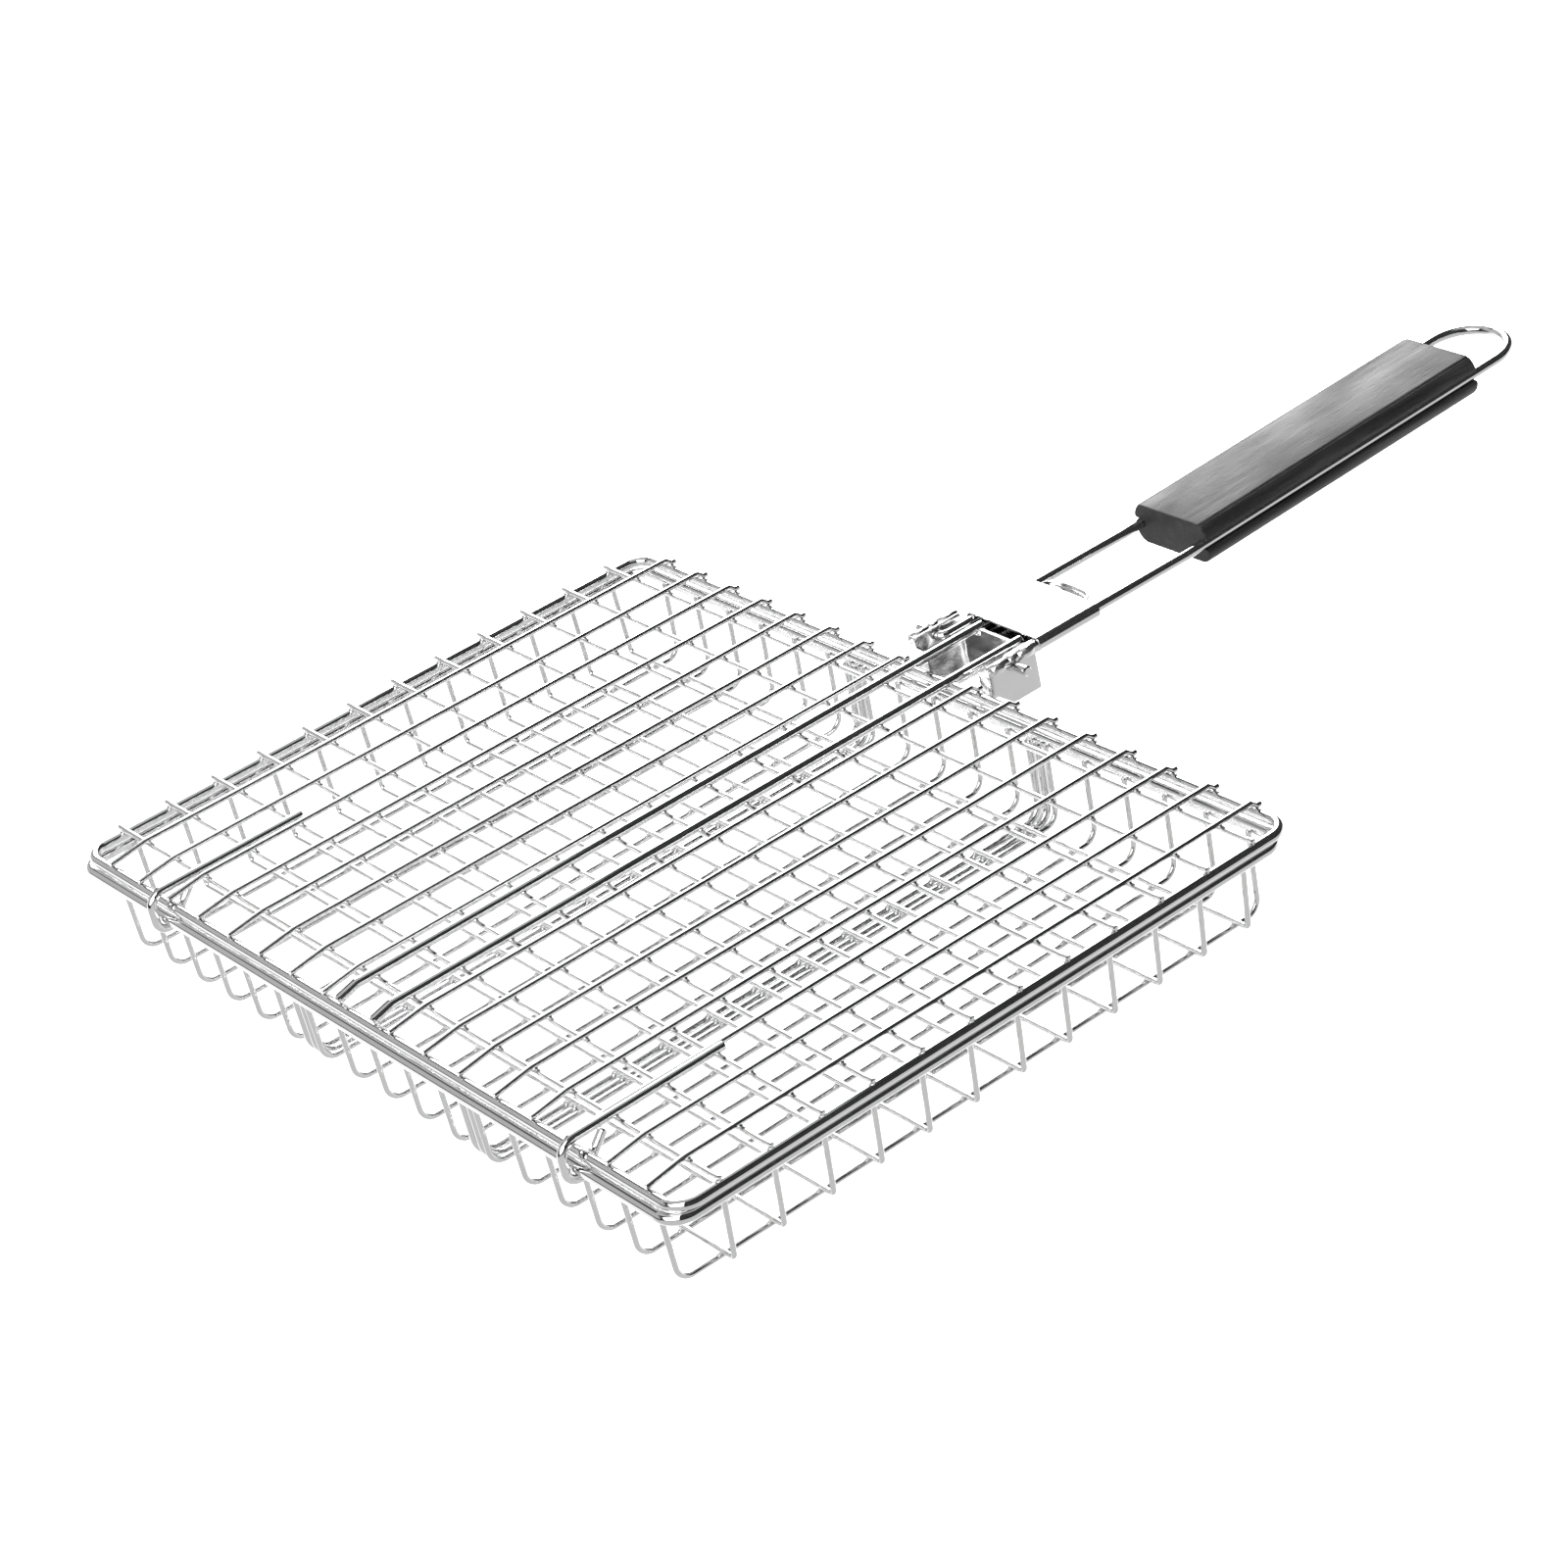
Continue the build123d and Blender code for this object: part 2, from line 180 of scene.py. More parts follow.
def stained_wood():
    """Black-stained open-grained wood: long streaks, short dark pores, and paler rubbed streaks on top."""
    material, tree, shader = new_material("stained_wood")
    streaks = noise(tree, coordinates(tree, (1, 0.05, 1)), 420, 5, 0.6)
    bands = noise(tree, coordinates(tree, (1, 0.09, 1)), 90, 3, 0.55)
    pores = noise(tree, coordinates(tree, (1, 0.12, 1)), 1500, 2, 0.5)
    blotch = noise(tree, coordinates(tree, (1, 0.5, 1)), 60, 3)
    fine = math_node(tree, "MULTIPLY", streaks, 0.6)
    figure = math_node(tree, "ADD", fine, math_node(tree, "MULTIPLY", bands, 0.4))
    stain = ramp(tree, figure, ((0.35, 0.0025), (0.5, 0.0065), (0.68, 0.018)))
    tree.links.new(stain, shader.inputs["Base Color"])
    pore_depth = remap(tree, pores, 0.30, 0.46, 0.0, 1.0)
    worn = math_node(tree, "MULTIPLY", figure, 0.35)
    rough = math_node(tree, "ADD", worn, math_node(tree, "MULTIPLY", blotch, 0.3))
    tree.links.new(remap(tree, rough, 0.22, 0.42, 0.34, 0.58), shader.inputs["Roughness"])
    shader.inputs["Specular IOR Level"].default_value = 0.30
    normal = bump(tree, shader, pore_depth, 0.35, 0.00012)
    bump(tree, shader, figure, 0.30, 0.00035, normal)
    return material


def floor_material():
    material, tree, shader = new_material("floor_paper")
    grain = noise(tree, coordinates(tree, (1, 1, 1)), 40, 3)
    tree.links.new(ramp(tree, grain, ((0.0, 0.90), (1.0, 0.93))), shader.inputs["Base Color"])
    shader.inputs["Roughness"].default_value = 0.9
    shader.inputs["Specular IOR Level"].default_value = 0.1
    shader.inputs["Emission Color"].default_value = (1, 1, 1, 1)
    shader.inputs["Emission Strength"].default_value = 1.0
    return material


# Mesh helpers -------------------------------------------------------------------------------------------
SHARP = math.radians(35)


def soften(mesh):
    """Outward normals, smooth shading, and creases only at real edges."""
    work = bmesh.new()
    work.from_mesh(mesh)
    bmesh.ops.recalc_face_normals(work, faces=work.faces)
    work.to_mesh(mesh)
    work.free()
    mesh.shade_smooth()
    mesh.set_sharp_from_angle(angle=SHARP)


def add_mesh(name, vertices, faces, material):
    mesh = bpy.data.meshes.new(name)
    mesh.from_pydata([tuple(v) for v in vertices], [], faces)
    mesh.validate()
    mesh.materials.append(material)
    soften(mesh)
    piece = bpy.data.objects.new(name, mesh)
    bpy.context.scene.collection.objects.link(piece)
    return piece


def finish_piece(piece, body, slot, *nodes):
    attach(piece, body)
    if nodes:
        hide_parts(*nodes)
    return piece


def bent(corners, radii, step=6.0):
    """Points along straight runs with a round bend at each inner corner; step is in degrees of bend."""
    corners = [np.array(c, float) for c in corners]
    path = [corners[0]]
    for before, corner, after, radius in zip(corners, corners[1:], corners[2:], radii):
        a = (before - corner) / np.linalg.norm(before - corner)
        b = (after - corner) / np.linalg.norm(after - corner)
        inside = math.acos(float(np.clip(a @ b, -1, 1)))
        turn = math.pi - inside
        back = radius * math.tan(turn / 2)
        middle = (a + b) / np.linalg.norm(a + b) * (radius / math.sin(inside / 2))
        hub = corner + middle
        first, last = corner + a * back - hub, corner + b * back - hub
        count = max(2, round(math.degrees(turn) / step))
        for i in range(count + 1):
            t = i / count
            path.append(hub + (math.sin((1 - t) * turn) * first + math.sin(t * turn) * last) / math.sin(turn))
    path.append(corners[-1])
    return path


def resampled(path, spacing):
    """The same path with extra points on its long runs."""
    out = [path[0]]
    for a, b in zip(path, path[1:]):
        count = max(1, math.ceil(np.linalg.norm(b - a) / spacing))
        out += [a + (b - a) * i / count for i in range(1, count + 1)]
    return out


def tube(name, path, radius, material, sides=14, closed=False):
    """A round wire along a path of points, with lightly chamfered sheared ends."""
    path = np.array(path, float)
    count = len(path)
    if closed:
        tangents = np.roll(path, -1, 0) - np.roll(path, 1, 0)
    else:
        tangents = np.gradient(path, axis=0)
    tangents /= np.linalg.norm(tangents, axis=1)[:, None]
    side = np.cross(tangents[0], (0.0, 0.0, 1.0))
    if np.linalg.norm(side) < 0.1:
        side = np.cross(tangents[0], (1.0, 0.0, 0.0))
    rings = []
    for tangent in tangents:
        side = side - tangent * (side @ tangent)
        side /= np.linalg.norm(side)
        rings.append((side, np.cross(tangent, side)))
    sizes = [1.0] * count
    if not closed:
        chamfer = 0.28 * radius
        second, last_but_one = path[0] + tangents[0] * chamfer, path[-1] - tangents[-1] * chamfer
        path = np.vstack((path[0], second, path[1:-1], last_but_one, path[-1]))
        rings = [rings[0], rings[0], *rings[1:-1], rings[-1], rings[-1]]
        sizes = [0.74, 1.0, *sizes[1:-1], 1.0, 0.74]
        count = len(path)
    angles = np.linspace(0, 2 * math.pi, sides, endpoint=False)
    vertices = []
    for point, (u, w), size in zip(path, rings, sizes):
        vertices += [point + radius * size * (math.cos(t) * u + math.sin(t) * w) for t in angles]
    faces = []
    for i in range(count if closed else count - 1):
        a, b = i * sides, (i + 1) % count * sides
        faces += [(a + j, a + (j + 1) % sides, b + (j + 1) % sides, b + j) for j in range(sides)]
    if not closed:
        faces.append(tuple(reversed(range(sides))))
        faces.append(tuple(range((count - 1) * sides, count * sides)))
    return add_mesh(name, vertices, faces, material)


def nuggets(name, places, material, wide=0.85 * MM, high=0.5 * MM, around=10, levels=5):
    """Squashed beads of weld metal where two wires cross."""
    vertices, faces = [], []
    for x, y, z in places:
        base = len(vertices)
        for i in range(1, levels):
            t = math.pi * i / levels
            for j in range(around):
                a = 2 * math.pi * j / around
                reach = wide * math.sin(t)
                vertices.append((x + reach * math.cos(a), y + reach * math.sin(a), z + high * math.cos(t)))
        for i in range(levels - 2):
            for j in range(around):
                a, b = base + i * around + j, base + i * around + (j + 1) % around
                faces.append((a, b, b + around, a + around))
        faces.append(tuple(base + j for j in reversed(range(around))))
        faces.append(tuple(base + (levels - 2) * around + j for j in range(around)))
    return add_mesh(name, vertices, faces, material)


def sheet_plate(name, outline, holes, thickness, edge, placing, material):
    """A flat plate from an outline of (x, y) points with round holes (x, y, r), with rounded edges."""
    curve = bpy.data.curves.new(name, "CURVE")
    curve.dimensions = "2D"
    curve.fill_mode = "BOTH"
    curve.extrude = thickness / 2 - edge
    curve.bevel_depth = edge
    curve.bevel_resolution = 2
    curve.offset = -edge
    loops = [outline]
    turns = np.linspace(0, 2 * math.pi, 40, endpoint=False)
    for x, y, r in holes:
        loops.append([(x + r * math.cos(t), y + r * math.sin(t)) for t in turns])
    for loop in loops:
        spline = curve.splines.new("POLY")
        spline.points.add(len(loop) - 1)
        for point, (x, y) in zip(spline.points, loop):
            point.co = (x, y, 0, 1)
        spline.use_cyclic_u = True
    drawn = bpy.data.objects.new(name + "_drawn", curve)
    bpy.context.scene.collection.objects.link(drawn)
    bpy.context.view_layer.update()
    mesh = bpy.data.meshes.new_from_object(drawn.evaluated_get(bpy.context.evaluated_depsgraph_get()))
    bpy.data.objects.remove(drawn)
    work = bmesh.new()
    work.from_mesh(mesh)
    bmesh.ops.remove_doubles(work, verts=work.verts, dist=1e-7)
    work.to_mesh(mesh)
    work.free()
    mesh.name = name
    mesh.materials.clear()
    mesh.materials.append(material)
    mesh.transform(placing)
    soften(mesh)
    piece = bpy.data.objects.new(name, mesh)
    bpy.context.scene.collection.objects.link(piece)
    return piece


# Wires --------------------------------------------------------------------------------------------------
thin_r = half("basket_long_wire_01").x
rim_r = half("basket_rim").z
frame_r = half("lid_frame").z
rail_r = half("rail_left").x
hook_r = half("hook_left").x
support_r = half("support_wire_1").x

lid_long_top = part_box("lid_long_wire_01")[1].z
lid_long_z = lid_long_top - thin_r
lid_cross_z = centre("lid_cross_wires").z
tray_long_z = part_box("basket_long_wire_01")[0].z + thin_r
tray_cross_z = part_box("basket_cross_wire_01")[0].z + thin_r

long_x = [centre(f"basket_long_wire_{i + 1:02d}").x for i in range(LONG_COUNT)]
lid_x = [centre(f"lid_long_wire_{i + 1:02d}").x for i in range(LID_LONG_COUNT)]
tray_y = [centre(f"basket_cross_wire_{i + 1:02d}").y for i in range(CROSS_COUNT)]
support_x = [centre(f"support_wire_{i + 1}").x for i in range(SUPPORT_COUNT)]
rail_x = [centre("rail_left").x, centre("rail_right").x]
hook_x = [centre("hook_left").x, centre("hook_right").x]
lid_cross_low, lid_cross_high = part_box("lid_cross_wires")
lid_y = np.linspace(lid_cross_low.y + thin_r, lid_cross_high.y - thin_r, CROSS_COUNT)

CORNER = 7.0 * MM
LEAN_Y = 1.0 * MM
LEAN_X = 2.4 * MM
LONG_BEND = 5.0 * MM
CROSS_BEND = 2.0 * MM
SUPPORT_BEND = 7.0 * MM
LID_SAG = 0.30 * MM          # the lid's cross wires hang this far between the wires they are welded to
TRAY_SAG = 0.12 * MM
LONG_DIP_FRONT = 13.0 * MM   # the lid's long wires come down to the frame over these lengths
LONG_DIP_BACK = 2.2 * MM
LONG_DIP_BENDS = [9.0 * MM, 9.0 * MM, 1.4 * MM, 1.4 * MM]
CRIMP = 1.9 * MM             # half width of each crimp
LONG_SWAY = 0.25             # the lid's long wires bow sideways by up to this many millimetres
RAIL_DIP_AT = 8.0 * MM       # the rails start to come down this far from their front ends
RAIL_BEND = 4.0 * MM
HOOK_BEND = 5.0 * MM
HOOK_TURN = math.radians(138)
HOOK_TIP = 12.0 * MM


def make_ring(name, node, radius, body, material):
    low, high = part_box(node)
    x0, x1, y0, y1 = low.x + radius, high.x - radius, low.y + radius, high.y - radius
    z = (low.z + high.z) / 2
    corners = [(0, y1, z), (x0, y1, z), (x0, y0, z), (x1, y0, z), (x1, y1, z), (0, y1, z)]
    path = resampled(bent(corners, [CORNER] * 4), 12 * MM)[:-1]
    return finish_piece(tube(name, path, radius, material, 20, closed=True), body, "heavy_wire", node)


def tray_wire(name, node, radius, bend, body_slot, material, sides):
    """A wire along the bottom and up the front and back walls."""
    low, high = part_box(node)
    x, z = (low.x + high.x) / 2, low.z + radius
    front, back = low.y + radius, high.y - radius
    corners = [(x, front, high.z), (x, front + LEAN_Y, z), (x, back - LEAN_Y, z), (x, back, high.z)]
    path = resampled(bent(corners, [bend, bend]), 9 * MM)
    return finish_piece(tube(name, path, radius, material, sides), "basket", body_slot, node)


def crimped(path, crossings, sag, axis=0):
    """Lets a wire sag between the places where it is welded to other wires."""
    out = []
    for point in path:
        near = max(math.exp(-((point[axis] - c) / CRIMP) ** 2) for c in crossings)
        out.append(point + np.array((0, 0, -sag * (1 - near))))
    return out


def make_basket(thin, heavy):
    make_ring("tray_rim", "basket_rim", rim_r, "basket", heavy)
    for i in range(LONG_COUNT):
        node = f"basket_long_wire_{i + 1:02d}"
        tray_wire(f"tray_long_{i + 1:02d}", node, thin_r, LONG_BEND, "mesh_wire", thin, 14)
    for i in range(SUPPORT_COUNT):
        node = f"support_wire_{i + 1}"
        tray_wire(f"tray_support_{i + 1}", node, support_r, SUPPORT_BEND, "heavy_wire", heavy, 18)
    crossings = sorted(long_x + support_x)
    for i, y in enumerate(tray_y):
        node = f"basket_cross_wire_{i + 1:02d}"
        low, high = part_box(node)
        left, right = low.x + thin_r, high.x - thin_r
        z = tray_cross_z
        corners = [(left, y, high.z), (left + LEAN_X, y, z), (right - LEAN_X, y, z), (right, y, high.z)]
        path = bent(corners, [CROSS_BEND, CROSS_BEND], 10)
        turn = len(path) // 2
        run = resampled(path[turn - 1 : turn + 1], 1.5 * MM)
        run = crimped(run, [path[turn - 1][0], *crossings, path[turn][0]], -TRAY_SAG)
        path = path[: turn - 1] + run + path[turn + 1 :]
        finish_piece(tube(f"tray_cross_{i + 1:02d}", path, thin_r, thin), "basket", "mesh_wire", node)
    level = (tray_long_z + tray_cross_z) / 2
    places = [(x, y, level) for x in long_x for y in tray_y]
    under = tray_cross_z - thin_r
    places += [(x, y, under) for x in support_x for y in tray_y]
    finish_piece(nuggets("tray_welds", places, thin), "basket", "mesh_wire")


def make_lid(thin, heavy):
    make_ring("lid_ring", "lid_frame", frame_r, "lid", heavy)
    bow = np.random.default_rng(7)
    frame_low, frame_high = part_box("lid_frame")
    for i in range(LID_LONG_COUNT):
        node = f"lid_long_wire_{i + 1:02d}"
        low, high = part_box(node)
        x, z, end = (low.x + high.x) / 2, high.z - thin_r, low.z + thin_r
        front, back = frame_low.y + frame_r, frame_high.y - frame_r
        corners = [
            (x, low.y, end),
            (x, front, end),
            (x, front + LONG_DIP_FRONT, z),
            (x, back - LONG_DIP_BACK, z),
            (x, back, end),
            (x, high.y, end),
        ]
        path = resampled(bent(corners, LONG_DIP_BENDS, 5), 8 * MM)
        sway, wave = bow.uniform(-LONG_SWAY, LONG_SWAY, 2) * MM
        length = high.y - low.y
        path = [
            p + np.array((sway * math.sin(math.pi * t) + wave * math.sin(2 * math.pi * t), 0, 0))
            for p in path
            for t in [(p[1] - low.y) / length]
        ]
        finish_piece(tube(f"lid_long_{i + 1:02d}", path, thin_r, thin), "lid", "mesh_wire", node)

    low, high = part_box("lid_cross_wires")
    crossings = sorted(lid_x + rail_x)
    holds = [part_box("lid_frame")[0].x + frame_r, *crossings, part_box("lid_frame")[1].x - frame_r]
    for i, y in enumerate(lid_y):
        welded = holds + (hook_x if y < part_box("hook_left")[1].y else [])
        run = resampled([np.array((low.x, y, lid_cross_z)), np.array((high.x, y, lid_cross_z))], 1.2 * MM)
        piece = tube(f"lid_cross_{i + 1:02d}", crimped(run, welded, LID_SAG), thin_r, thin)
        finish_piece(piece, "lid", "mesh_wire", "lid_cross_wires")
    places = [(x, y, (lid_cross_z + lid_long_z) / 2) for x in lid_x for y in lid_y]
    places += [(x, y, lid_cross_z + thin_r) for x in rail_x for y in lid_y]
    frame_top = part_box("lid_frame")[1].z
    places += [(x, y, frame_top) for x in (holds[0], holds[-1]) for y in lid_y]
    finish_piece(nuggets("lid_welds", places, thin), "lid", "mesh_wire")

    for node in ("rail_left", "rail_right"):
        low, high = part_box(node)
        x, z = (low.x + high.x) / 2, high.z - rail_r
        corners = [(x, low.y + 0.4 * rail_r, low.z + rail_r), (x, low.y + RAIL_DIP_AT, z), (x, high.y, z)]
        path = resampled(bent(corners, [RAIL_BEND], 4), 10 * MM)
        finish_piece(tube(f"{node}_rod", path, rail_r, heavy, 20), "lid", "heavy_wire", node)

    rim_low, rim_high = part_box("basket_rim")
    hub_y, hub_z = rim_low.y + rim_r, (rim_low.z + rim_high.z) / 2
    for node in ("hook_left", "hook_right"):
        low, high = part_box(node)
        x, z = (low.x + high.x) / 2, high.z - hook_r
        front = low.y + hook_r
        turn_r = hub_y - front
        path = bent([(x, high.y, z), (x, front, z), (x, front, hub_z)], [HOOK_BEND])
        last = HOOK_TURN
        for t in np.linspace(0, last, 24)[1:]:
            path.append(np.array((x, hub_y - turn_r * math.cos(t), hub_z - turn_r * math.sin(t))))
        path.append(path[-1] + HOOK_TIP * np.array((0, math.sin(last), -math.cos(last))))
        wire = tube(f"{node}_wire", resampled(path, 6 * MM), hook_r, heavy, 18)
        finish_piece(wire, "lid", "heavy_wire", node)


# Handle -------------------------------------------------------------------------------------------------
HANDLE_R = 1.75 * MM
HANDLE_HALF = 14.9 * MM
PIVOT = Vector((0, 128.3, 37.95)) * MM
RISE_START_Y = 208 * MM
RISE = math.radians(2.2)
LOOP_START_Y = 356 * MM
PIN_BEND = 2.6 * MM
RISE_BEND = 20.0 * MM
GRIP_START_Y = 216 * MM
GRIP_LENGTH = 128 * MM
GRIP_EDGE = 0.7 * MM
RUNNING_CLEARANCE = 0.08 * MM


def make_handle(metal, wood):
    tip_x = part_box("handle_wire")[1].x
    loop_y = LOOP_START_Y
    loop_z = PIVOT.z + (loop_y - RISE_START_Y) * math.tan(RISE)
    right = bent(
        [
            (tip_x, PIVOT.y, PIVOT.z),
            (HANDLE_HALF, PIVOT.y, PIVOT.z),
            (HANDLE_HALF, RISE_START_Y, PIVOT.z),
            (HANDLE_HALF, loop_y, loop_z),
        ],
        [PIN_BEND, RISE_BEND],
    )
    loop = []
    for t in np.linspace(0, math.pi, 40)[1:-1]:
        x, along = HANDLE_HALF * math.cos(t), HANDLE_HALF * math.sin(t)
        loop.append(np.array((x, loop_y + along * math.cos(RISE), loop_z + along * math.sin(RISE))))
    left = [p * np.array((-1, 1, 1)) for p in reversed(right)]
    path = resampled(right, 10 * MM) + loop + resampled(left, 10 * MM)
    finish_piece(tube("handle_rod", path, HANDLE_R, metal, 24), "handle", "handle_wire", "handle_wire")
    make_grip(wood)


def grip_outline():
    """Half-rounded six-sided section with a groove in each side, as (x, z) points in millimetres."""
    top, wide, high, shoulder, groove = 14.5, 17.5, 7.2, 2.9, 1.8
    quarter = []
    quarter += [(top - 1.0, high), (top - 0.35, high - 0.12), (top + 0.15, high - 0.55)]
    for t in np.linspace(0.12, 0.85, 5):
        bulge = 0.45 * math.sin(math.pi * t)
        quarter.append((top + (wide - top) * t + bulge, high + (shoulder - high) * t + bulge * 0.5))
    quarter += [(wide - 0.02, shoulder - 0.1), (wide - 0.15, groove + 0.45)]
    quarter += [(wide - 0.6, groove + 0.08), (wide - 1.2, groove)]
    hub = HANDLE_HALF / MM
    for t in np.linspace(math.pi / 2, math.pi, 6):
        quarter.append((hub + groove * math.cos(t), groove * math.sin(t)))
    right = quarter + [(x, -z) for x, z in reversed(quarter[:-1])]
    left = [(-x, z) for x, z in reversed(right)]
    return right + left


def make_grip(wood):
    start_y, length = GRIP_START_Y, GRIP_LENGTH
    start_z = PIVOT.z + (start_y - RISE_START_Y) * math.tan(RISE)
    along = np.array((0, math.cos(RISE), math.sin(RISE)))
    up = np.array((0, -math.sin(RISE), math.cos(RISE)))
    outline = grip_outline()
    edge = GRIP_EDGE
    stations = [(0, 0.965), (edge * 0.3, 0.988), (edge, 1.0)]
    stations += [(s, 1.0) for s in np.linspace(8 * MM, length - 8 * MM, 15)]
    stations += [(length - edge, 1.0), (length - edge * 0.3, 0.988), (length, 0.965)]
    vertices = []
    for s, size in stations:
        hub = np.array((0, start_y, start_z)) + along * s
        for x, z in outline:
            vertices.append(hub + np.array((x * MM * (1 - (1 - size) * 0.45), 0, 0)) + up * z * MM * size)
    n = len(outline)
    faces = []
    for i in range(len(stations) - 1):
        a, b = i * n, (i + 1) * n
        faces += [(a + j, b + j, b + (j + 1) % n, a + (j + 1) % n) for j in range(n)]
    faces.append(tuple(range(n)))
    faces.append(tuple(reversed(range((len(stations) - 1) * n, len(stations) * n))))
    piece = add_mesh("grip_block", vertices, faces, wood)
    finish_piece(piece, "handle", "stained_wood", "wood_grip")


# Sleeve -------------------------------------------------------------------------------------------------
SLEEVE_T = 0.67 * MM
SLEEVE_LENGTH = 26.1 * MM
SLEEVE_EDGE = 0.16 * MM
TAB_HALF = 10.8 * MM
TAB_LIP = 2.0 * MM
TAB_LIP_BEND = 1.6 * MM
TAB_ROOT = 0.4 * MM          # the tab reaches this far into the sleeve's wall
TAB_DROP = 3.0 * MM          # it slopes down by this much to its rear edge
TAB_INSET = 0.03 * MM        # and lies this far below the sleeve's top face


def slot_outline(half_gap, radius, steps=12):
    """A stadium section as (x, z) points round its edge."""
    points = []
    for t in np.linspace(-math.pi / 2, math.pi / 2, steps):
        points.append((half_gap + radius * math.cos(t), radius * math.sin(t)))
    for t in np.linspace(math.pi / 2, 3 * math.pi / 2, steps):
        points.append((-half_gap + radius * math.cos(t), radius * math.sin(t)))
    return points


def make_sleeve(metal):
    low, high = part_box("lock_sleeve")
    thick = SLEEVE_T
    radius = HANDLE_R + RUNNING_CLEARANCE + thick
    front, back = low.y, low.y + SLEEVE_LENGTH
    soft = SLEEVE_EDGE
    half_gap = high.x - radius
    outer = slot_outline(half_gap, radius)
    n = len(outer)
    stations = [
        (front + soft, radius - thick),
        (front, radius - thick + soft),
        (front, radius - soft),
        (front + soft, radius),
        (back - soft, radius),
        (back, radius - soft),
        (back, radius - thick + soft),
        (back - soft, radius - thick),
    ]
    vertices = []
    for y, r in stations:
        vertices += [(x, y, PIVOT.z + z) for x, z in slot_outline(half_gap, r)]
    faces = []
    count = len(stations)
    for i in range(count):
        a, b = i * n, (i + 1) % count * n
        faces += [(a + j, b + j, b + (j + 1) % n, a + (j + 1) % n) for j in range(n)]
    shell = add_mesh("sleeve_tube", vertices, faces, metal)
    finish_piece(shell, "sleeve", "sheet_metal", "lock_sleeve")

    # Thumb tab: slopes down, then turns up along a curved rear edge.
    half_width, depth, lip, turn_r = TAB_HALF, high.y - back, TAB_LIP, TAB_LIP_BEND
    top = PIVOT.z + radius - TAB_INSET
    root = TAB_ROOT
    across, section = 28, []
    for v in (0.0, 0.35, 0.7):
        section.append((v, 0.0))
    for t in np.linspace(0, math.pi / 2, 6):
        section.append((1.0, t))
    vertices = []
    for i in range(across + 1):
        a = math.pi * i / across
        x, reach = -half_width * math.cos(a), math.sin(a)
        inner = max(0.0, depth * reach - turn_r * reach)
        for v, t in section:
            y = back - root + (inner + root) * v + turn_r * reach * math.sin(t)
            fall = TAB_DROP * (y - back + root) / (depth + root)
            rise = min(lip, turn_r) * (1 - math.cos(t)) + (lip - turn_r) * (t / (math.pi / 2)) ** 3
            vertices.append((x, y, top - thick / 2 - fall + rise * min(1.0, 1.6 * reach)))
    m = len(section)
    faces = []
    for i in range(across):
        a, b = i * m, (i + 1) * m
        faces += [(a + j, b + j, b + j + 1, a + j + 1) for j in range(m - 1)]
    tab = add_mesh("sleeve_tab", vertices, faces, metal)
    solid = tab.modifiers.new("thickness", "SOLIDIFY")
    solid.thickness = thick
    solid.offset = 0
    finish_piece(tab, "sleeve", "sheet_metal")


# Bracket ------------------------------------------------------------------------------------------------
EAR_INNER = 17.6 * MM
EAR_T = 1.2 * MM
EAR_FRONT = 119.2 * MM
EAR_TOP = 3.2 * MM           # heights from the pivot
EAR_FRONT_LOW = -6.5 * MM
EAR_CHAMFER = 7.9 * MM
FLOOR_TOP = -7.9 * MM
FLANGE_WIDTH = 6.0 * MM
FLANGE_TOP = -0.5 * MM
FLAP_TOP = -2.1 * MM
FLAP_CORNER = 1.4 * MM
TONGUE_HALF = 7.0 * MM
TONGUE_TOP = 0.6 * MM
BEAD_UP = 1.9 * MM
BEAD_OUT = 1.3 * MM
BEAD_R = 1.9 * MM
BEAD_GAP = 1.95 * MM
ROLL_TURN = 250              # degrees that the sheet curls over
ROLL_TURN_OVER_PIN = 165
SHEET_EDGE = 0.25 * MM
ROLL_T = 0.7 * MM


def rolled_edge(name, x, side, start, end, turned, metal):
    """One stretch of the outward curl along the top of an ear, turned by this many degrees."""
    hub_z = PIVOT.z + BEAD_UP
    middle = BEAD_R - ROLL_T / 2
    curl = [
        (x + side * (BEAD_OUT - middle * math.cos(t)), hub_z + middle * math.sin(t))
        for t in np.linspace(0, math.radians(turned), 26)
    ]
    vertices = [(cx, y, cz) for y in (start, end) for cx, cz in curl]
    n = len(curl)
    faces = [(j, j + 1, n + j + 1, n + j) for j in range(n - 1)]
    bead = add_mesh(name, vertices, faces, metal)
    solid = bead.modifiers.new("thickness", "SOLIDIFY")
    solid.thickness = ROLL_T
    solid.offset = 0
    finish_piece(bead, "basket", "sheet_metal")


